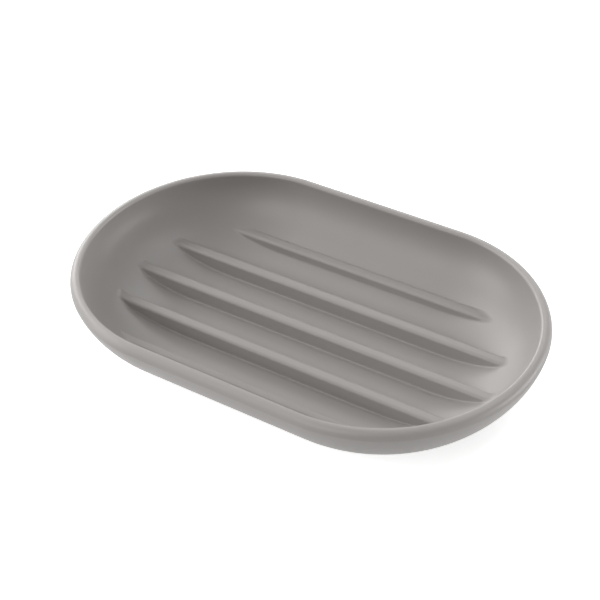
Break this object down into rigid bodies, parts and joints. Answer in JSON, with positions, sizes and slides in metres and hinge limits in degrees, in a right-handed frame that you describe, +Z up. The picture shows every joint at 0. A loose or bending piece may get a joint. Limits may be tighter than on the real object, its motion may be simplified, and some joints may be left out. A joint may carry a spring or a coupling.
{
  "type": "soap dish",
  "caption": "Shallow free-standing soap dish with a stadium plan, a rounded rim, a bellied wall, long soap ribs on the floor and soft foot pads under the base.",
  "frame": {"origin": "on the resting plane, the underside of the foot pads, under the middle of the dish", "axes": "+X along the length of the dish and its ribs, +Y across it, +Z up out of the open bowl"},
  "size_m": [0.1396, 0.0888, 0.022],
  "materials": {
    "dish_plastic": "warm grey moulded plastic with a fine soft-touch matte surface",
    "pad_rubber": "dark grey soft rubber, dull"
  },
  "bodies": {
    "root": {"dish_body": "dish_plastic", "foot_pad_1": "pad_rubber", "foot_pad_2": "pad_rubber", "foot_pad_3": "pad_rubber", "foot_pad_4": "pad_rubber"}
  },
  "joints": []
}
